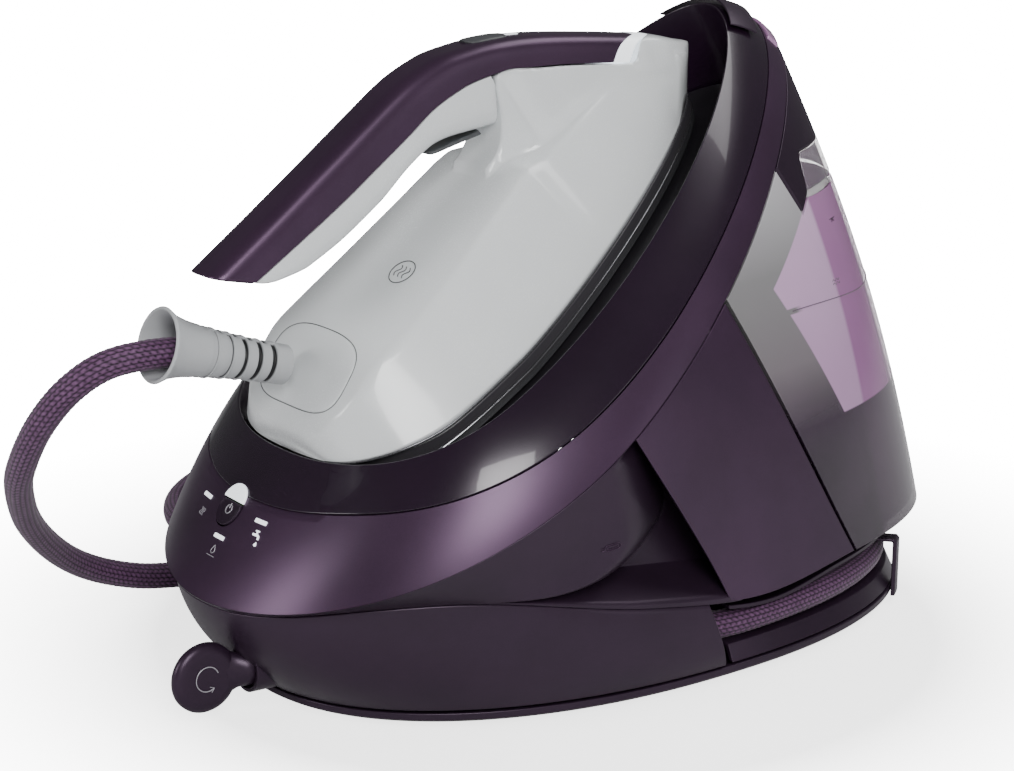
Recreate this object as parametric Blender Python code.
"""Steam generator iron: a base station with a water tank and boiler, a steam iron resting on it,
and the braided steam hose between them. Metres, +Z up, nose towards -Y, water tank towards +Y."""

import math

import bmesh
import bpy
import numpy as np
from mathutils import Matrix, Vector

# Driving dimensions ---------------------------------------------------------------------------

CENTRE_SHIFT = -0.0131      # moves the drawing frame so that the origin is under the middle
WALL = 0.0026               # moulded wall thickness
HOSE_RADIUS = 0.0070
HOSE_SPACING = 0.027        # distance between the points of the hose's centre line

# Plan outlines: front y, rear y, y of the widest place, half width, front and rear roundness
CREST = (-0.1447, 0.1140, -0.0744, 0.0940, 2.31, 1.88)      # ridge of the glossy collar
SEAM = (-0.1933, 0.1557, -0.0510, 0.1269, 2.01, 1.60)       # lower edge of the satin band
BELT = (-0.1925, 0.2410, 0.0200, 0.1240, 2.10, 2.30)        # ledge over the lower pan
FLOOR = (-0.1595, 0.2218, 0.0347, 0.1212, 2.21, 2.31)       # edge of the floor plate
CREST_RISE = (0.1229, 0.7370, 1.2414)                       # front height, mean slope, sag
SEAM_RISE = (0.0591, 0.6763, 0.9914)
BELT_HEIGHT = ((-0.19, 0.058), (-0.15, 0.066), (-0.11, 0.067), (-0.02, 0.051),
               (0.05, 0.042), (0.12, 0.047), (0.25, 0.046))
FLOOR_TOP = 0.0090
PAN_BOTTOM = 0.0098
CORE = Vector((0.0, 0.02, 0.12))                            # walls are offset towards this point

COLLAR_LEVEL = (0.325, 0.640)   # share of the way from crest to seam of the glossy collar, nose and rear
BAND_BULGE = 0.0035
REAR_BULGE = 0.0065
PAN_BULGE = 0.0050

BLADE_FRONT = ((0.0, 98.0), (1.0, 91.5))                    # level past the seam, plan angle
BLADE_REAR = ((0.0, 120.5), (1.0, 114.5))
SCOOP_START = 44.0          # plan angle where the side scoop opens, degrees
SCOOP_END = 97.0
SCOOP_DEPTH = 0.026
PAN_END = 89.0
HULL_START = 141.0          # plan angle where the rear hull reaches the seam

POWER_PLACE = (-4.0, 0.425)         # plan angle and level of the power button's centre
LIGHT_PLACE = (-5.2, 0.315)
WINDOWS = (("indicator_left", -16.0, 0.450), ("indicator_middle", -2.2, 0.600),
           ("indicator_right", 8.0, 0.425))
DECALC_X = 0.0120           # drain plug
DECALC_Z = 0.0240
CHANNEL_WALL = 0.0235       # hose channel: distance of its inner wall and its lips from the floor's edge
CHANNEL_LIP = 0.0045
CHANNEL_FLOOR = 0.0185
HOSE_INSET = 0.0125
TANK_EDGE_GAP = 0.3         # degrees
TANK_RIM = 0.2230           # height of the tank's rim under the rear hull and the filling flap
HULL_TIP = 1.137            # level of the rear hull's lower edge beside the blades
HULL_HEIGHT = 0.2440        # height of its lower edge over the filling flap
HULL_LEVEL_CLEAR = 0.0035   # share of the side's height left free under the hull
FLAP_START = 146.5          # plan angle of the filling flap's end
COVER_HEIGHT = 0.1800
BULKHEAD = (0.1120, 0.0470, 0.6135)     # y at a height, and forward lean per metre of height

# The iron lies on a sloping tray: its own frame has u along the sole from heel to tip and v upwards
IRON_ORIGIN = Vector((0.0, -0.1400, 0.1000))
IRON_TILT = math.radians(32.6)
TRAY = (0.0100, 0.3220, 0.1000, 0.0840, 2.60, 1.70)         # same outline rule, in u
SOLE = (0.0140, 0.3110, 0.1050, 0.0715, 3.30, 1.50)
IRON_EDGE = (0.0135, 0.3130, 0.1050, 0.0730, 3.30, 1.50)    # lower edge of the white body
BODY_EDGE = 0.0137          # height of the white body's lower edge over the sole
RIDGE = ((0.0135, 0.0137), (0.0160, 0.0280), (0.0220, 0.0400), (0.0350, 0.0520), (0.0600, 0.0610),
         (0.1100, 0.0630), (0.1500, 0.0640), (0.1700, 0.0665), (0.1780, 0.0700), (0.1869, 0.0806),
         (0.1960, 0.0998), (0.2208, 0.0856), (0.2562, 0.0607), (0.2715, 0.0495), (0.2830, 0.0455),
         (0.2865, 0.0555), (0.3096, 0.0310), (0.3125, 0.0240), (0.3130, 0.0137))     # body's height at u
HANDLE_TOP = ((0.0210, 0.1192), (0.0600, 0.1216), (0.1055, 0.1251), (0.1300, 0.1271), (0.1520, 0.1284),
              (0.1730, 0.1261), (0.1918, 0.1197), (0.2095, 0.1111), (0.2270, 0.1003), (0.2602, 0.0760),
              (0.2858, 0.0560), (0.3000, 0.0450))
HANDLE_SPLIT = ((0.0210, 0.1042), (0.0735, 0.1045), (0.0956, 0.1050), (0.1184, 0.1063), (0.1416, 0.1078),
                (0.1582, 0.1093), (0.1756, 0.1076), (0.1948, 0.1017), (0.2208, 0.0868), (0.2562, 0.0619),
                (0.2720, 0.0507), (0.3000, 0.0400))
HANDLE_BOTTOM = ((0.0200, 0.1010), (0.0242, 0.0947), (0.0377, 0.0889), (0.0713, 0.0875), (0.1096, 0.0886),
                 (0.1350, 0.0926), (0.1456, 0.0932), (0.1782, 0.0813), (0.2000, 0.0700))
HANDLE_HALF = 0.0145
HANDLE_RAKE = 1.02          # slant of the handle's free end, in u per v
COVER_SHAPE = ((-1, 0), (-1, 0.45), (-0.93, 0.72), (-0.72, 0.90), (-0.40, 0.985), (0, 1),
               (0.40, 0.985), (0.72, 0.90), (0.93, 0.72), (1, 0.45), (1, 0))     # section: across, up
GRIP_SHAPE = ((-1, 1), (1, 1), (1, 0.55), (0.88, 0.22), (0.55, 0.04), (0, 0), (-0.55, 0.04),
              (-0.88, 0.22), (-1, 0.55))
BOOST_U = 0.2060            # place of the steam boost button along the handle
TRIGGER_SIDE = ((0.1480, 0.0901), (0.1770, 0.0811), (0.1775, 0.0783), (0.1620, 0.0836), (0.1488, 0.0881))
TRIGGER_PIVOT = (0.1760, 0.0800)
TRIGGER_HALF = 0.0075
BELL_START = Vector((0.0, -0.1405, 0.1625))
BELL_AXIS = Vector((0.0, -0.9580, 0.2860))

BOILER_CENTRE = Vector((-0.020, -0.030, 0.0660))
BOILER_RADIUS = 0.0420
BOILER_LENGTH = 0.1100
GLAND = Vector((0.1010, -0.0150, 0.0262))      # where the hose is fixed, under the right flank
RING_SIDES = 48             # corners of the plan outlines of plates


# Small maths helpers --------------------------------------------------------------------------

def smooth_curve(pairs, x):
    """Value at x of a smooth curve through (x, value) pairs, level past both ends."""
    count = len(pairs)
    if x <= pairs[0][0]:
        return pairs[0][1]
    if x >= pairs[-1][0]:
        return pairs[-1][1]
    slope = [0.0] * count
    steps = [(pairs[i + 1][1] - pairs[i][1]) / (pairs[i + 1][0] - pairs[i][0]) for i in range(count - 1)]
    for i in range(1, count - 1):
        slope[i] = 0.5 * (steps[i - 1] + steps[i])
    slope[0] = steps[0]
    slope[-1] = steps[-1]
    i = max(k for k in range(count - 1) if pairs[k][0] <= x)
    h = pairs[i + 1][0] - pairs[i][0]
    t = (x - pairs[i][0]) / h
    return ((2 * t ** 3 - 3 * t ** 2 + 1) * pairs[i][1] + (t ** 3 - 2 * t ** 2 + t) * h * slope[i]
            + (3 * t ** 2 - 2 * t ** 3) * pairs[i + 1][1] + (t ** 3 - t ** 2) * h * slope[i + 1])


def ease(low, high, x):
    t = min(1.0, max(0.0, (x - low) / (high - low)))
    return t * t * (3 - 2 * t)


def outline(shape, angle):
    """Point (x, y) of a superellipse plan; angle 0 is the front, 90 the +X side, in degrees."""
    front, rear, wide, half, n_front, n_rear = shape
    c = math.cos(math.radians(angle))
    s = math.sin(math.radians(angle))
    n = n_front if c > 0 else n_rear
    x = math.copysign(half * abs(s) ** (2 / n), s)
    if c > 0:
        return x, wide - (wide - front) * abs(c) ** (2 / n)
    return x, wide + (rear - wide) * abs(c) ** (2 / n)


def rising_ring(shape, rise, angle):
    x, y = outline(shape, angle)
    along = y - shape[0]
    return Vector((x, y, rise[0] + rise[1] * along + rise[2] * along * (y - shape[1])))


def crest(angle):
    return rising_ring(CREST, CREST_RISE, angle)


def seam(angle):
    return rising_ring(SEAM, SEAM_RISE, angle)


def belt(angle):
    x, y = outline(BELT, angle)
    return Vector((x, y, smooth_curve(BELT_HEIGHT, y)))


def floor_edge(angle, height=PAN_BOTTOM):
    x, y = outline(FLOOR, angle)
    return Vector((x, y, height))


def outward(point):
    return (point - CORE).normalized()


def body_point(angle, level):
    """Outer skin: level 0 is the crest, 1 the seam, 2 the belt, 3 the floor plate."""
    if level <= 1:
        low, high, share, bulge = crest(angle), seam(angle), level, BAND_BULGE
    elif level <= 2:
        rear = ease(100, 150, 180 - abs((angle % 360) - 180))
        low, high, share, bulge = seam(angle), belt(angle), level - 1, REAR_BULGE * rear
    else:
        low, high, share, bulge = belt(angle), floor_edge(angle), level - 2, PAN_BULGE
    point = low.lerp(high, share)
    return point + outward(point) * (bulge * 4 * share * (1 - share))


def collar_level(angle):
    side = 180 - abs((angle % 360) - 180)
    return COLLAR_LEVEL[0] + (COLLAR_LEVEL[1] - COLLAR_LEVEL[0]) * ease(25, 115, side)


def scoop_point(angle, level):
    """Side wall between seam and belt: hollowed towards the blade, then running behind it."""
    side = 180 - abs((angle % 360) - 180)
    share = level - 1
    depth = SCOOP_DEPTH * ease(SCOOP_START, SCOOP_END, side) * (1 - abs(2 * share - 1) ** 3)
    behind = 0.0105 * ease(SCOOP_END - 8, SCOOP_END, side)
    point = body_point(angle, level)
    return point - outward(point) * max(depth, behind)


def level_at(angle, height):
    """Level between seam and belt at which the skin has a height."""
    low, high = 1.0, 2.0
    for _ in range(30):
        middle = 0.5 * (low + high)
        if body_point(angle, middle).z > height:
            low = middle
        else:
            high = middle
    return low


def inset(shape, distance):
    """Plan outline drawn inwards by a distance."""
    return (shape[0] + distance, shape[1] - distance, shape[2], shape[3] - distance, *shape[4:])


def side_edge(pairs, level):
    """Plan angle of a blade edge at a level between seam and belt."""
    share = level - 1
    return pairs[0][1] + (pairs[1][1] - pairs[0][1]) * share


def iron_point(x, u, v):
    c, s = math.cos(IRON_TILT), math.sin(IRON_TILT)
    return IRON_ORIGIN + Vector((x, u * c - v * s, u * s + v * c))


# Mesh helpers ---------------------------------------------------------------------------------

def clear_scene():
    for item in list(bpy.data.objects):
        bpy.data.objects.remove(item, do_unlink=True)


def material(name, colour, roughness, metallic=0.0, alpha=1.0):
    found = bpy.data.materials.get(name)
    if found:
        return found
    made = bpy.data.materials.new(name)
    made.use_nodes = True
    shader = made.node_tree.nodes["Principled BSDF"]
    shader.inputs["Base Color"].default_value = (*colour, 1.0)
    shader.inputs["Roughness"].default_value = roughness
    shader.inputs["Metallic"].default_value = metallic
    shader.inputs["Alpha"].default_value = alpha
    return made


def satin():
    return material("satin_aubergine", (0.075, 0.035, 0.085), 0.35, 0.3)


def glossy():
    return material("glossy_aubergine", (0.022, 0.010, 0.028), 0.08)


def white():
    return material("white_gloss", (0.80, 0.82, 0.83), 0.15)


def dark():
    return material("dark_plastic", (0.03, 0.03, 0.035), 0.5)


def steel():
    return material("steel", (0.55, 0.55, 0.56), 0.3, 1.0)


def rubber():
    return material("rubber", (0.05, 0.05, 0.05), 0.8)


def pink_clear():
    return material("tank_clear", (0.60, 0.36, 0.58), 0.05, 0.0, 0.4)


def lamp_white():
    return material("lamp_window", (0.95, 0.95, 0.98), 0.2)


def board_green():
    return material("circuit_board", (0.03, 0.16, 0.07), 0.4)


def silicone():
    return material("silicone", (0.70, 0.70, 0.68), 0.6)


def add_mesh(name, mesh_data, look, origin=None):
    """Object from a bmesh in drawing coordinates, its origin at the given point."""
    bmesh.ops.recalc_face_normals(mesh_data, faces=mesh_data.faces)
    place = Vector(origin) if origin is not None else Vector((0, 0, 0))
    bmesh.ops.translate(mesh_data, verts=mesh_data.verts, vec=-place)
    mesh = bpy.data.meshes.new(name)
    mesh_data.to_mesh(mesh)
    mesh_data.free()
    mesh.shade_smooth()
    mesh.set_sharp_from_angle(angle=math.radians(35))
    item = bpy.data.objects.new(name, mesh)
    item.location = place
    item.data.materials.append(look)
    bpy.context.scene.collection.objects.link(item)
    return item


def add_grid(mesh_data, rows, closed_rows, closed_columns):
    """Quads over a grid of points; returns the grid of vertices."""
    grid = [[mesh_data.verts.new(point) for point in row] for row in rows]
    row_steps = len(rows) if closed_columns else len(rows) - 1
    column_steps = len(rows[0]) if closed_rows else len(rows[0]) - 1
    for i in range(row_steps):
        for j in range(column_steps):
            a, b = grid[i], grid[(i + 1) % len(rows)]
            k = (j + 1) % len(rows[0])
            mesh_data.faces.new((a[j], a[k], b[k], b[j]))
    return grid


def shell_solid(name, outer, inner, look, closed, origin=None):
    """Closed wall between two grids of points; closed means that the rows are full rings."""
    data = bmesh.new()
    skin = add_grid(data, outer, closed, False)
    back = add_grid(data, inner, closed, False)
    count = len(outer[0])
    for row in (0, -1):
        for j in range(count if closed else count - 1):
            k = (j + 1) % count
            data.faces.new((skin[row][j], skin[row][k], back[row][k], back[row][j]))
    if not closed:
        for j in (0, -1):
            for i in range(len(outer) - 1):
                data.faces.new((skin[i][j], skin[i + 1][j], back[i + 1][j], back[i][j]))
    return add_mesh(name, data, look, origin)


def loft_solid(name, rings, look, origin=None):
    """Solid through closed rings, capped by a flat face at both ends."""
    data = bmesh.new()
    grid = add_grid(data, rings, True, False)
    data.faces.new(grid[0])
    data.faces.new(grid[-1])
    return add_mesh(name, data, look, origin)


def ring_solid(name, loops, look, origin=None):
    """Solid of ring form: each loop is a closed cross-section, and the loops close on each other."""
    data = bmesh.new()
    add_grid(data, loops, True, True)
    return add_mesh(name, data, look, origin)


def wall_shell(name, angles, levels, look, closed, depth=WALL, surface=body_point):
    """Shell over the body skin; levels is a function of the angle giving the rows' levels."""
    outer = [[surface(angle, levels(angle)[i]) for angle in angles] for i in range(len(levels(0)))]
    inner = [[point - outward(point) * depth for point in row] for row in outer]
    return shell_solid(name, outer, inner, look, closed)


def spread(low, high, count):
    return [low + (high - low) * i / (count - 1) for i in range(count)]


def full_turn(count):
    return [360 * i / count for i in range(count)]


def frame_along(axis):
    """Two unit vectors square to an axis."""
    axis = axis.normalized()
    side = axis.cross(Vector((0, 0, 1)))
    if side.length < 0.2:
        side = axis.cross(Vector((1, 0, 0)))
    side.normalize()
    return side, axis.cross(side)


def turned(start, axis, profile, sides):
    """Rings of a turned profile, given as pairs (distance along the axis, radius)."""
    axis = axis.normalized()
    side, up = frame_along(axis)
    rings = []
    for along, radius in profile:
        ring = []
        for i in range(sides):
            a = 2 * math.pi * i / sides
            ring.append(start + axis * along + (side * math.cos(a) + up * math.sin(a)) * radius)
        rings.append(ring)
    return rings


def turned_solid(name, start, axis, profile, look, sides=24, origin=None):
    return loft_solid(name, turned(start, axis, profile, sides), look, origin)


def turned_sleeve(name, start, axis, profile, look, sides=24, origin=None):
    """Hollow turned piece: the profile is a closed loop of (distance, radius) pairs."""
    rings = turned(start, axis, profile, sides)
    loops = [[ring[i] for ring in rings] for i in range(sides)]
    return ring_solid(name, loops, look, origin)


def block(name, centre, size, look, turn=(0, 0, 0), round_edge=0.0015, origin=None):
    """Box with bevelled edges, turned about its centre by Euler angles in degrees."""
    data = bmesh.new()
    bmesh.ops.create_cube(data, size=1.0)
    bmesh.ops.scale(data, verts=data.verts, vec=size)
    if round_edge:
        bmesh.ops.bevel(data, geom=list(data.edges), offset=round_edge, segments=2, affect='EDGES',
                        clamp_overlap=True)
    spin = Matrix.Rotation(math.radians(turn[2]), 3, 'Z') @ Matrix.Rotation(math.radians(turn[0]), 3, 'X')
    bmesh.ops.rotate(data, verts=data.verts, cent=(0, 0, 0), matrix=spin)
    bmesh.ops.translate(data, verts=data.verts, vec=centre)
    return add_mesh(name, data, look, origin)


def tube(name, points, radius, look, sides=3, cyclic=False):
    """Round tube along a list of points, with filled ends."""
    curve = bpy.data.curves.new(name, 'CURVE')
    curve.dimensions = '3D'
    curve.bevel_depth = radius
    curve.bevel_resolution = sides
    curve.use_fill_caps = True
    line = curve.splines.new('POLY')
    line.points.add(len(points) - 1)
    for knot, point in zip(line.points, points):
        knot.co = (*point, 1.0)
    line.use_cyclic_u = cyclic
    curve.materials.append(look)
    item = bpy.data.objects.new(name, curve)
    bpy.context.scene.collection.objects.link(item)
    return item


def catmull(points, steps=12):
    """Dense points of a smooth curve through the given points."""
    dense = []
    last = len(points) - 1
    for i in range(last):
        p0 = points[max(i - 1, 0)]
        p1, p2 = points[i], points[i + 1]
        p3 = points[min(i + 2, last)]
        for k in range(steps):
            t = k / steps
            dense.append(0.5 * ((2 * p1) + (p2 - p0) * t + (2 * p0 - 5 * p1 + 4 * p2 - p3) * t ** 2
                                + (3 * p1 - p0 - 3 * p2 + p3) * t ** 3))
    dense.append(points[-1])
    return dense


def evenly(points, spacing):
    """Points at even distances along a dense line, both ends kept."""
    travel = [0.0]
    for a, b in zip(points, points[1:]):
        travel.append(travel[-1] + (b - a).length)
    count = max(2, round(travel[-1] / spacing))
    out = []
    j = 0
    for i in range(count + 1):
        goal = travel[-1] * i / count
        while j < len(travel) - 2 and travel[j + 1] < goal:
            j += 1
        share = (goal - travel[j]) / (travel[j + 1] - travel[j])
        out.append(points[j].lerp(points[j + 1], share))
    return out


def pipe(name, stations, radius, look):
    points = evenly(catmull([Vector(p) for p in stations], 8), 3.2 * radius)
    return tube(name, points, radius, look, 2)


def cut(target, cutter):
    """Boolean difference with a hidden cutter."""
    cutter.hide_render = True
    cutter.display_type = 'WIRE'
    step = target.modifiers.new("cut", 'BOOLEAN')
    step.operation = 'DIFFERENCE'
    step.solver = 'EXACT'
    step.object = cutter


# Base station: mouldings ----------------------------------------------------------------------

def build_floor_plate():
    def ring(scale, height):
        points = []
        for angle in full_turn(RING_SIDES):
            x, y = outline(FLOOR, angle)
            points.append(Vector((x * scale, FLOOR[2] + (y - FLOOR[2]) * scale, height)))
        return points
    rings = [ring(0.90, 0.0035), ring(0.985, 0.0040), ring(1.0, 0.0058), ring(1.0, FLOOR_TOP),
             ring(0.972, FLOOR_TOP), ring(0.96, 0.0072)]
    loft_solid("floor_plate", rings, satin())


def build_feet():
    for name, x, y in (("foot_front_left", -0.07, -0.095), ("foot_front_right", 0.07, -0.095),
                       ("foot_rear_left", -0.085, 0.14), ("foot_rear_right", 0.085, 0.14)):
        profile = [(0.0, 0.0100), (0.0020, 0.0105), (0.0032, 0.0095)]
        turned_solid(name, Vector((x, y, 0.0)), Vector((0, 0, 1)), profile, rubber(), 20)


def build_base_pan():
    angles = spread(-PAN_END, PAN_END, 41)
    pan = wall_shell("base_pan", angles, lambda a: spread(2.008, 2.985, 6), satin(), False)
    bore = turned_solid("decalc_cutter", Vector((DECALC_X, -0.26, DECALC_Z)), Vector((0, 1, 0)),
                        [(0, 0.0120), (0.13, 0.0120)], satin(), 28)
    cut(pan, bore)


def build_upper_housing():
    band = wall_shell("upper_housing", full_turn(56),
                      lambda a: spread(collar_level(a) + 0.006, 0.996, 6), satin(), True)
    point, normal = panel_place(*POWER_PLACE)
    bore = turned_solid("power_cutter", point - normal * 0.012, normal, [(0, 0.0088), (0.024, 0.0088)],
                        satin(), 28)
    cut(band, bore)


def build_collar():
    """Glossy ring: outer band, crest and the wall of the recess that the iron lies in."""
    loops = []
    down = iron_point(0, 0, -1) - iron_point(0, 0, 0)
    for angle in full_turn(56):
        level = collar_level(angle)
        top = crest(angle)
        x, u = outline(TRAY, angle)
        foot = iron_point(x, u, -0.0015)
        aside = Vector((x, (u - TRAY[2]) * 0.8, 0)).normalized()
        skin = [body_point(angle, level * k) for k in (1.0, 0.66, 0.33, 0.1)]
        back = [point - outward(point) * WALL for point in skin[:3]]
        middle = top.lerp(foot, 0.5) + aside * 0.003 + down * 0.0015
        loops.append([*skin, top, top.lerp(foot, 0.4), foot, foot + down * 0.003 + aside * 0.001,
                      middle, back[2], back[1], back[0]])
    ring_solid("collar", loops, glossy())


def build_iron_tray():
    rim = [outline(TRAY, angle) for angle in full_turn(RING_SIDES)]

    def at(scale, v):
        return [iron_point(x * scale, TRAY[2] + (u - TRAY[2]) * scale, v) for x, u in rim]
    loft_solid("iron_tray", [at(0.99, -0.0045), at(0.99, -0.0020)], dark())
    loops = []
    for x, u in rim:
        section = []
        for scale, v in ((0.80, -0.0016), (0.62, -0.0016), (0.62, -0.0004), (0.80, -0.0004)):
            section.append(iron_point(x * scale, TRAY[2] + (u - TRAY[2]) * scale, v))
        loops.append(section)
    ring_solid("rest_mat", loops, silicone())


def build_mid_housing():
    """Inner side wall: open scoops at the sides, then the wall behind the blades."""
    full = BLADE_REAR[0][1]
    outer = []
    for level in spread(1.005, 1.995, 7):
        end = side_edge(BLADE_REAR, level) - 4.0
        outer.append([scoop_point(angle * end / full, level) for angle in spread(-full, full, 53)])
    inner = [[point - outward(point) * 0.0022 for point in row] for row in outer]
    shell_solid("mid_housing", outer, inner, satin(), False)


def build_blades():
    for name, sign in (("blade_right", 1), ("blade_left", -1)):
        outer = []
        for level in spread(1.005, 1.995, 8):
            low = side_edge(BLADE_FRONT, level)
            high = side_edge(BLADE_REAR, level) - 0.2
            outer.append([body_point(sign * angle, level) for angle in spread(low, high, 9)])
        inner = [[point - outward(point) * WALL for point in row] for row in outer]
        shell_solid(name, outer, inner, satin(), False)


def hull_level(angle):
    """Lower edge of the rear hull, as a level."""
    side = 180 - abs((angle % 360) - 180)
    rear = level_at(angle, HULL_HEIGHT)
    return HULL_TIP + (rear - HULL_TIP) * ease(HULL_START + 3, HULL_START + 8, side)


def build_rear_hull():
    angles = spread(HULL_START, 360 - HULL_START, 40)
    wall_shell("rear_hull", angles, lambda a: spread(1.005, hull_level(a), 5), satin(), False)


def bulkhead_y(height):
    return BULKHEAD[0] - (height - BULKHEAD[1]) * BULKHEAD[2]


def build_rear_wall():
    """Leaning bulkhead between the works and the water tank."""
    half_outline = ((0.074, 0.0105), (0.074, 0.0440), (0.088, 0.0520), (0.084, 0.1760))
    rim = [(x, z) for x, z in half_outline] + [(-x, z) for x, z in reversed(half_outline)]
    rings = [[Vector((x, bulkhead_y(z) - back, z)) for x, z in rim] for back in (0.0, 0.0025)]
    wall = loft_solid("rear_wall", rings, dark())
    bore = turned_solid("pipe_cutter", Vector((0.030, 0.100, 0.030)), Vector((0, 1, 0)),
                        [(0, 0.0042), (0.05, 0.0042)], dark(), 16)
    cut(wall, bore)


def build_hose_channel():
    """Gutter round the foot of the station: roof, inner wall, floor and outer skirt in one piece."""
    rings = []
    thick = 0.0022
    for angle in spread(PAN_END + 1.0, 360 - PAN_END - 1.0, 49):
        top = belt(angle).z - 0.0060
        section = ((CHANNEL_LIP, top - thick), (CHANNEL_WALL, top - thick), (CHANNEL_WALL, CHANNEL_FLOOR),
                   (CHANNEL_LIP, CHANNEL_FLOOR), (0.0008, 0.0100), (0.0034, 0.0100),
                   (CHANNEL_LIP + thick, CHANNEL_FLOOR - thick), (CHANNEL_WALL + thick, CHANNEL_FLOOR - thick),
                   (CHANNEL_WALL + thick, top), (CHANNEL_LIP, top))
        rings.append([Vector((*outline(inset(FLOOR, depth), angle), z)) for depth, z in section])
    loft_solid("hose_channel", rings, satin())


def build_top_inlay():
    """Clear strip behind the lock, between collar and seam."""
    outer = []
    for level in (0.70, 0.80, 0.90):
        row = [body_point(angle, level) for angle in spread(166, 194, 9)]
        outer.append([point + outward(point) * 0.0018 for point in row])
    inner = [[point - outward(point) * 0.0012 for point in row] for row in outer]
    shell_solid("top_inlay", outer, inner, pink_clear(), False)


def build_hose_clip():
    """Hook on the floor's edge that keeps the hose in its channel."""
    rings = []
    for angle in spread(135.8, 139.2, 3):
        section = ((-0.0006, 0.0040), (-0.0006, 0.0340), (0.0090, 0.0345), (0.0090, 0.0362),
                   (-0.0014, 0.0358), (-0.0028, 0.0340), (-0.0028, 0.0040))
        rings.append([Vector((*outline(inset(FLOOR, depth), angle), z)) for depth, z in section])
    loft_solid("hose_clip", rings, satin())


# Base station: controls and tank --------------------------------------------------------------

def panel_place(angle, level):
    """Point and outward normal of the skin."""
    point = body_point(angle, level)
    across = body_point(angle + 0.5, level) - body_point(angle - 0.5, level)
    down = body_point(angle, level + 0.02) - body_point(angle, level - 0.02)
    normal = across.cross(down).normalized()
    if normal.dot(point - CORE) < 0:
        normal = -normal
    return point, normal


def build_power_button():
    point, normal = panel_place(*POWER_PLACE)
    profile = [(0, 0.0072), (0.0042, 0.0080), (0.0052, 0.0078), (0.0056, 0.0066)]
    turned_solid("power_button", point - normal * 0.0048, normal, profile, satin(), 28, origin=point)


def build_indicators():
    for name, angle, level in (*WINDOWS, ("power_light", *LIGHT_PLACE)):
        point, normal = panel_place(angle, level)
        side = normal.cross(Vector((0, 0, 1))).normalized()
        up = side.cross(normal)
        width, height = (0.0075, 0.0022) if name == "power_light" else (0.0034, 0.0014)
        base = point + normal * 0.0010
        rings = []
        for lift in (0.0, 0.0007):
            rings.append([base + side * (sx * width) + up * (sy * height) + normal * lift
                          for sx, sy in ((-1, -1), (1, -1), (1, 1), (-1, 1))])
        loft_solid(name, rings, lamp_white())


def paddle_solid(name, middle):
    """Round flat grip standing in the YZ plane."""
    radius, half = 0.0170, 0.0036
    rings = []
    for share, scale in ((-1, 0.86), (-0.6, 0.97), (0, 1.0), (0.6, 0.97), (1, 0.86)):
        ring = []
        for i in range(28):
            a = 2 * math.pi * i / 28
            reach = radius * scale
            ring.append(middle + Vector((half * share, reach * math.cos(a), reach * math.sin(a))))
        rings.append(ring)
    return loft_solid(name, rings, satin())


def build_drain_plug():
    """Plug with a round grip at the nose, its seal, and the drain socket that it closes."""
    axis = Vector((0, 1, 0))
    centre = Vector((DECALC_X, 0, DECALC_Z))
    stem = [(-0.1840, 0.0070), (-0.1760, 0.0086), (-0.1640, 0.0086), (-0.1635, 0.0060), (-0.1500, 0.0060)]
    knob = turned_solid("drain_knob", centre, axis, stem, satin(), 24,
                        origin=(DECALC_X, -0.19, DECALC_Z))
    grip = paddle_solid("drain_knob_grip", Vector((DECALC_X, -0.1975, DECALC_Z)))
    grip.hide_render = True
    grip.display_type = 'WIRE'
    join = knob.modifiers.new("grip", 'BOOLEAN')
    join.operation = 'UNION'
    join.solver = 'EXACT'
    join.object = grip
    turned_sleeve("drain_seal", centre + axis * -0.1585, axis,
                  [(0, 0.0063), (0, 0.0082), (0.0025, 0.0082), (0.0025, 0.0063)], rubber(), 20)
    turned_sleeve("drain_socket", centre + axis * -0.1600, axis,
                  [(0, 0.0088), (0, 0.0116), (0.026, 0.0116), (0.026, 0.0088)], dark(), 24)


def build_lock():
    """Carrying lock on top: the sliding button and, under it, the hook for the iron's tip."""
    outer = []
    for level in (0.04, 0.20, 0.42):
        row = [body_point(angle, level) for angle in spread(162, 198, 11)]
        outer.append([point + outward(point) * 0.0034 for point in row])
    inner = [[point - outward(point) * 0.0026 for point in row] for row in outer]
    shell_solid("lock_button", outer, inner, satin(), False)
    block("lock_latch", crest(180) + Vector((0, 0.0195, -0.0160)), (0.016, 0.003, 0.010), dark(),
          round_edge=0.0006)


def tank_top(angle):
    """Level of the tank's rim: up to the seam beside the blades, lower under the rear hull."""
    side = 180 - abs((angle % 360) - 180)
    if side < HULL_START - 2.0:
        return 1.005
    return max(level_at(angle, TANK_RIM), hull_level(angle) + 4 * HULL_LEVEL_CLEAR)


def tank_row(share, trim, depth, bottom):
    """Row of the tank's skin between rim and floor; trim is in degrees, depth is inwards."""
    half = [*spread(BLADE_REAR[0][1], HULL_START - 2.8, 8), HULL_START - 0.8, *spread(143, 151, 5),
            *spread(156, 180, 5)]
    row = []
    for angle in [*half, *[360 - a for a in reversed(half[:-1])]]:
        top = tank_top(angle)
        level = top + (bottom - top) * share
        edge = side_edge(BLADE_REAR, level) + TANK_EDGE_GAP + trim
        moved = 180 + (angle - 180) * (180 - edge) / (180 - BLADE_REAR[0][1])
        point = body_point(moved, level)
        row.append(point - outward(point) * depth)
    return row


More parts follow.
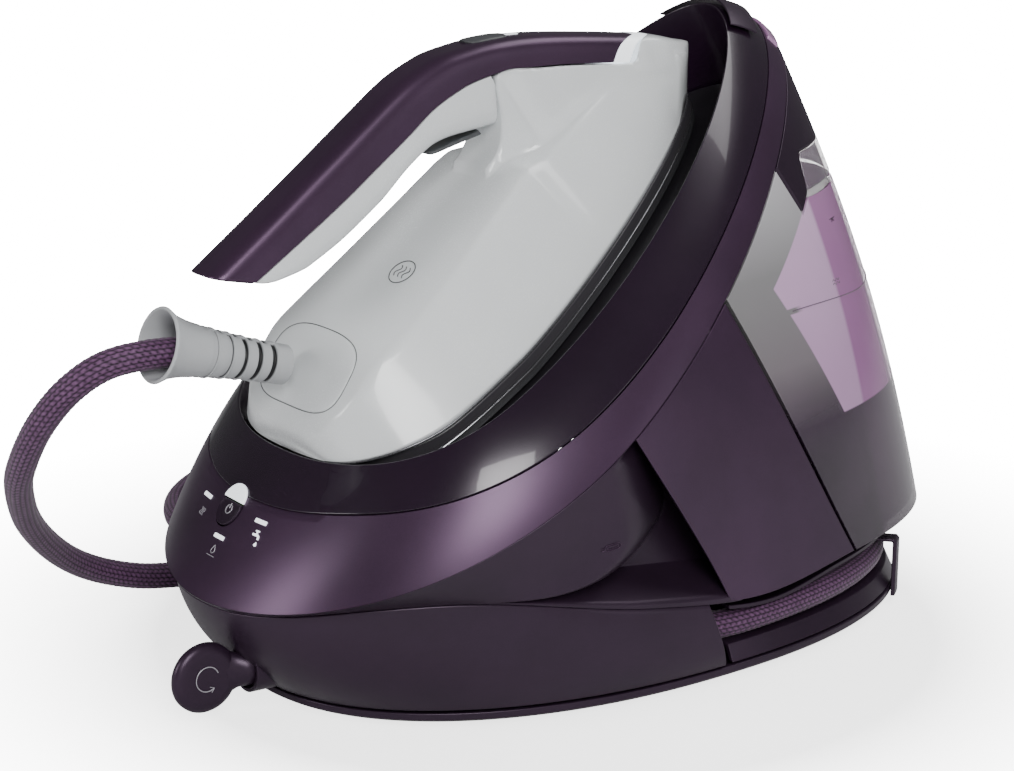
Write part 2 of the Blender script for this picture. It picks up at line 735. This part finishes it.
def build_tank():
    """Clear water tank, open at the top; its inner cover; and the filling flap at the rear."""
    shares = spread(0, 1, 9)
    outer = [tank_row(share, 0.0, 0.0, 1.994) for share in shares]
    inner = [tank_row(share, 1.3, 0.0022, 1.975) for share in shares]
    loft_solid("tank_shell", [*reversed(outer), *inner], pink_clear())
    rim = []
    for angle in spread(BLADE_REAR[0][1] + 3.6, 356.4 - BLADE_REAR[0][1], 33):
        point = body_point(angle, level_at(angle, COVER_HEIGHT))
        rim.append(point - outward(point) * 0.0055)
    cover = loft_solid("tank_cover", [[Vector((p.x, p.y, COVER_HEIGHT + lift)) for p in rim]
                                      for lift in (0.0, 0.0022)], dark())
    port = turned_solid("fill_cutter", Vector((0, 0.125, COVER_HEIGHT - 0.01)), Vector((0, 0, 1)),
                        [(0, 0.017), (0.03, 0.017)], dark(), 28)
    cut(cover, port)
    flap = []
    for share in (0, 0.5, 1):
        row = []
        for angle in spread(FLAP_START, 360 - FLAP_START, 23):
            high = hull_level(angle) + HULL_LEVEL_CLEAR
            low = level_at(angle, TANK_RIM + 0.0008)
            row.append(body_point(angle, high + (low - high) * share))
        flap.append(row)
    back = [[point - outward(point) * 0.0022 for point in row] for row in flap]
    shell_solid("tank_flap", flap, back, pink_clear(), False, origin=flap_hinge())
    turned_solid("tank_outlet", Vector((0.03, 0.155, 0.0415)), Vector((0, 0, 1)),
                 [(0, 0.0045), (0.002, 0.0060), (0.0056, 0.0060)], dark(), 20)


def flap_hinge():
    """Outer lower edge of the flap, at the middle."""
    point = body_point(180, level_at(180, TANK_RIM + 0.0008))
    return Vector((0, point.y + 0.0004, point.z))


# Base station: works --------------------------------------------------------------------------

def build_boiler():
    half = BOILER_LENGTH / 2
    profile = [(-half, 0.020), (-half + 0.006, 0.034), (-half + 0.016, BOILER_RADIUS),
               (half - 0.016, BOILER_RADIUS), (half - 0.006, 0.034), (half, 0.020)]
    turned_solid("boiler", BOILER_CENTRE, Vector((0, 1, 0)), profile, steel(), 32)
    wide = BOILER_RADIUS + 0.0034
    close = BOILER_RADIUS + 0.0005
    turned_sleeve("boiler_heater", BOILER_CENTRE, Vector((0, 1, 0)),
                  [(-0.024, close), (-0.024, wide), (-0.004, wide), (-0.004, close)], steel(), 32)
    block("boiler_cradle", Vector((-0.020, -0.005, 0.0153)), (0.050, 0.050, 0.0145), dark())
    top = BOILER_CENTRE.z + BOILER_RADIUS + 0.0006
    for name, y, tall in (("safety_valve", 0.0100, 0.018), ("steam_valve", -0.0180, 0.026)):
        turned_solid(name, Vector((BOILER_CENTRE.x, y, top)), Vector((0, 0, 1)),
                     [(0, 0.0070), (0.004, 0.0070), (0.005, 0.0100), (tall, 0.0100)], steel(), 18)


def build_works():
    block("pump", Vector((0.050, 0.040, 0.0400)), (0.036, 0.050, 0.040), dark())
    block("main_board", Vector((-0.080, 0.010, 0.0750)), (0.0016, 0.090, 0.060), board_green(),
          round_edge=0.0)
    point, normal = panel_place(-4, 0.50)
    block("display_board", point - normal * 0.0130, (0.070, 0.0016, 0.024), board_green(),
          turn=(-28, 0, 0), round_edge=0.0)
    turned_solid("mains_inlet", Vector((-0.1120, 0.0500, 0.0262)), Vector((1, 0, 0)),
                 [(0, 0.0050), (0.010, 0.0064), (0.0135, 0.0064)], rubber(), 20)
    route = hose_points()
    turned_solid("hose_gland", route[0] + (route[0] - route[1]).normalized() * 0.0004,
                 route[0] - route[1], [(0, 0.0084), (0.006, 0.0084), (0.016, 0.0074)], dark(), 20)
    pipe("water_pipe", [(0.030, 0.1400, 0.0300), (0.030, 0.110, 0.0300), (0.045, 0.090, 0.0330),
                        (0.050, 0.0660, 0.0350)], 0.0030, silicone())
    pipe("feed_pipe", [(0.050, 0.0125, 0.0400), (0.046, 0.000, 0.0420), (0.036, -0.006, 0.0560),
                       (0.0246, -0.007, 0.0660)], 0.0025, silicone())
    pipe("steam_pipe", [(-0.0095, -0.0180, 0.1280), (0.020, -0.020, 0.1280), (0.060, -0.035, 0.1000),
                        (0.085, -0.046, 0.0500), (0.0990, -0.043, 0.0290), (0.0990, -0.0345, 0.0262)],
         0.0030, silicone())
    pipe("drain_pipe", [(-0.010, -0.0890, 0.0550), (-0.006, -0.100, 0.0450), (0.008, -0.118, 0.0270),
                        (0.0120, -0.1335, 0.0240)], 0.0040, silicone())


# Steam iron -----------------------------------------------------------------------------------

def along(pairs, u):
    return float(np.interp(u, [p[0] for p in pairs], [p[1] for p in pairs]))


def iron_body_height(share, u, half):
    """Height of the white body over the sole at a share of its half width."""
    ridge = min(0.029 - 0.015 * ease(0.170, 0.190, u), 0.45 * half)
    bend = 0.85 + 0.75 * ease(0.165, 0.200, u) * (1 - ease(0.270, 0.290, u))
    reach = max(0.0, (share * half - ridge) / (half - ridge))
    return BODY_EDGE + (along(RIDGE, u) - BODY_EDGE) * (1 - reach) ** bend


def body_row(angle, shares, scale, depth):
    half, u = outline(IRON_EDGE, angle)
    middle = 0.5 * (IRON_EDGE[0] + IRON_EDGE[1])
    row = []
    for share in shares:
        rise = iron_body_height(abs(share), u, half) - BODY_EDGE
        rise -= depth * min(1.0, rise / 0.004)
        row.append(iron_point(half * share * scale, middle + (u - middle) * (1 + scale) / 2,
                              BODY_EDGE + rise))
    return row


def build_iron_body():
    shares = [-1, -0.93, -0.84, -0.72, -0.60, -0.48, -0.38, -0.22, 0, 0.22, 0.38, 0.48, 0.60, 0.72, 0.84,
              0.93, 1]
    angles = [3, 8, 14, 21, 29, 38, 48, 59, 70, 80, 90, 97, 103, 107, 110, 113, 117, 122, 127, 132, 138,
              144, 147, 149, 152, 157, 163, 169, 174]
    outer = [body_row(angle, shares, 1.0, 0.0) for angle in angles]
    inner = [body_row(angle, shares, 0.962, 0.0026) for angle in angles]
    shell_solid("iron_body", outer, inner, white(), False)


def flat_ring(name, shape, low, high, hollow, look):
    """Plate or ring parallel to the sole; hollow is the inner scale, or None for a full plate."""
    rim = [outline(shape, angle) for angle in full_turn(RING_SIDES)]

    def at(scale, v):
        return [iron_point(x * scale, shape[2] + (u - shape[2]) * scale, v) for x, u in rim]
    if hollow is None:
        loft_solid(name, [at(1.0, low), at(1.0, high)], look)
        return
    corners = [at(1.0, low), at(1.0, high), at(hollow, high), at(hollow, low)]
    ring_solid(name, [list(section) for section in zip(*corners)], look)


def handle_loft(name, stations, shape, low_line, high_line, look, origin=None):
    rings = []
    for u, size in stations:
        low, high = low_line(u), high_line(u)
        rake = HANDLE_RAKE * (1 - ease(0.021, 0.120, u))
        middle = 0.5 * (low + high)
        ring = []
        for fx, fv in shape:
            v = middle + (low + (high - low) * fv - middle) * size
            ring.append(iron_point(HANDLE_HALF * size * fx, u + rake * (HANDLE_TOP[0][1] - v), v))
        rings.append(ring)
    return loft_solid(name, rings, look, origin)


def boost_place():
    """Point and outward normal of the handle's top at the steam boost button."""
    step = 0.005
    behind, ahead = (iron_point(0, u, along(HANDLE_TOP, u)) for u in (BOOST_U - step, BOOST_U + step))
    run = (ahead - behind).normalized()
    return iron_point(0, BOOST_U, along(HANDLE_TOP, BOOST_U)), Vector((0, -run.z, run.y))


def build_handle():
    def cover_low(u):
        return max(along(HANDLE_SPLIT, u), along(RIDGE, u)) + 0.0004

    def grip_low(u):
        return max(along(HANDLE_BOTTOM, u), along(RIDGE, u) + 0.0022)
    shared = [(u, 1.0) for u in spread(0.0400, 0.1900, 13)]
    front = [(u, 1.0) for u in spread(0.1970, 0.2715, 9)]
    cover = handle_loft("handle_cover", [(0.0210, 0.86), (0.0225, 1.0), *shared, *front], COVER_SHAPE, cover_low,
                        lambda u: along(HANDLE_TOP, u), satin())
    place, normal = boost_place()
    turn = (math.degrees(math.asin(-normal.y)), 0, 0)
    pocket = block("button_cutter", place - normal * 0.0020, (0.0150, 0.0214, 0.0080), satin(), turn=turn,
                   round_edge=0)
    cut(cover, pocket)
    block("steam_boost_button", place - normal * 0.0019, (0.0138, 0.0200, 0.0050), dark(), turn=turn,
          round_edge=0.0012, origin=place)
    handle_loft("handle_grip", [(0.0235, 0.90), (0.0250, 1.0), *shared], GRIP_SHAPE, grip_low,
                lambda u: along(HANDLE_SPLIT, u) - 0.0003, white())
    handle_loft("handle_strip", [(0.2725, 1.0), (0.2780, 1.0), (0.2835, 1.0)], COVER_SHAPE,
                lambda u: along(RIDGE, u) + 0.0012, lambda u: along(HANDLE_TOP, u), silicone())


def build_trigger():
    rings = [[iron_point(x, u, v) for u, v in TRIGGER_SIDE] for x in (-TRIGGER_HALF, TRIGGER_HALF)]
    loft_solid("steam_trigger", rings, dark(), origin=iron_point(0, *TRIGGER_PIVOT))


def build_hatch():
    """Service hatch on the heel, following the body's surface."""
    def surface(x, u):
        half = abs(outline_half(u))
        return Vector((x, u, iron_body_height(min(1.0, abs(x) / half), u, half)))

    def lifted(x, u, lift):
        step = 0.0008
        across = surface(x + step, u) - surface(x - step, u)
        forward = surface(x, u + step) - surface(x, u - step)
        point = surface(x, u) + across.cross(forward).normalized() * lift
        return iron_point(*point)
    rows = [(x, spread(0.0220, 0.0580, 8)) for x in spread(-0.030, 0.030, 9)]
    outer = [[lifted(x, u, 0.0024) for u in line] for x, line in rows]
    inner = [[lifted(x, u, 0.0013) for u in line] for x, line in rows]
    shell_solid("rear_hatch", outer, inner, white(), False)


def outline_half(u):
    """Half width of the white body's lower edge at u."""
    front, rear, wide, half, n_front, n_rear = IRON_EDGE
    if u < wide:
        return half * max(0.0, 1 - ((wide - u) / (wide - front)) ** n_front) ** (1 / n_front)
    return half * max(0.0, 1 - ((u - wide) / (rear - wide)) ** n_rear) ** (1 / n_rear)


def build_bell():
    """Flexible bell that guides the hose into the iron, open at its mouth."""
    profile = [(0.0030, 0.0095), (0.020, 0.0100), (0.045, 0.0125), (0.0680, 0.0157), (0.0680, 0.0145),
               (0.045, 0.0108), (0.025, 0.0082), (0.0130, 0.0076)]
    turned_solid("hose_bell", BELL_START, BELL_AXIS, profile, dark(), 24)


def build_iron():
    flat_ring("soleplate", SOLE, 0.0, 0.0050, None, steel())
    flat_ring("sole_heater", inset(SOLE, 0.0200), 0.0053, 0.0150, None, steel())
    skirt = (SOLE[0] + 0.0005, SOLE[1] + 0.0010, SOLE[2], SOLE[3] + 0.0010, *SOLE[4:])
    flat_ring("iron_skirt", skirt, 0.0053, 0.0117, 0.92, dark())
    flat_ring("trim_ring", IRON_EDGE, 0.0120, 0.0134, 0.94, steel())
    build_iron_body()
    build_handle()
    build_trigger()
    build_hatch()
    build_bell()


# Steam hose -----------------------------------------------------------------------------------

def hose_route():
    """Centre line from the gland, round the foot, through one loop on the floor, up to the iron."""
    inner = inset(FLOOR, HOSE_INSET)
    lift = CHANNEL_FLOOR + HOSE_RADIUS + 0.0004
    points = [GLAND, GLAND + Vector((0.0010, 0.012, 0)), GLAND + Vector((0.0030, 0.025, 0))]
    for angle in (92, 103, 116, 130, 144, 160, 180, 200, 216, 230):
        points.append(Vector((*outline(inner, angle), lift)))
    points += [Vector(p) for p in (
        (-0.0985, 0.131, 0.0259), (-0.1100, 0.105, 0.0259), (-0.1195, 0.078, 0.0256),
        (-0.1290, 0.049, 0.0215), (-0.1362, 0.020, 0.0190), (-0.1405, -0.005, 0.0217),
        (-0.1450, -0.028, 0.0224), (-0.1560, -0.050, 0.0218), (-0.1770, -0.067, 0.0155),
        (-0.2080, -0.074, 0.0090), (-0.2440, -0.069, 0.0073), (-0.2770, -0.049, 0.0073),
        (-0.3010, -0.017, 0.0073), (-0.3070, 0.022, 0.0073), (-0.2920, 0.059, 0.0073),
        (-0.2620, 0.085, 0.0073), (-0.2240, 0.091, 0.0073), (-0.1900, 0.076, 0.0073),
        (-0.1660, 0.045, 0.0073), (-0.1510, 0.008, 0.0073), (-0.1440, -0.025, 0.0073),
        (-0.1430, -0.060, 0.0073), (-0.1490, -0.090, 0.0073), (-0.1565, -0.115, 0.0078),
        (-0.1590, -0.141, 0.0119), (-0.1535, -0.170, 0.0242), (-0.1376, -0.197, 0.0438),
        (-0.1085, -0.225, 0.0730), (-0.0745, -0.245, 0.1034), (-0.0530, -0.252, 0.1230),
        (-0.0320, -0.252, 0.1460), (-0.0160, -0.244, 0.1650), (-0.0060, -0.229, 0.1762))]
    axis = BELL_AXIS.normalized()
    points += [BELL_START + axis * 0.0660 + Vector((-0.0010, 0, -0.0030)),
               BELL_START + axis * 0.0450 + Vector((0, 0, -0.0004)),
               BELL_START + axis * 0.0280, BELL_START + axis * 0.0134]
    return points


def hose_points():
    return evenly(catmull(hose_route()), HOSE_SPACING)


def build_hose():
    tube("steam_hose", hose_points(), HOSE_RADIUS,
         material("hose_braid", (0.10, 0.045, 0.09), 0.7), 2)


# Whole object ---------------------------------------------------------------------------------

def build_base():
    build_floor_plate()
    build_feet()
    build_base_pan()
    build_upper_housing()
    build_collar()
    build_iron_tray()
    build_mid_housing()
    build_blades()
    build_rear_hull()
    build_rear_wall()
    build_hose_channel()
    build_hose_clip()
    build_top_inlay()
    build_power_button()
    build_indicators()
    build_drain_plug()
    build_lock()
    build_tank()
    build_boiler()
    build_works()


def main():
    clear_scene()
    build_base()
    build_iron()
    build_hose()
    for item in bpy.data.objects:
        item.location.y += CENTRE_SHIFT


main()
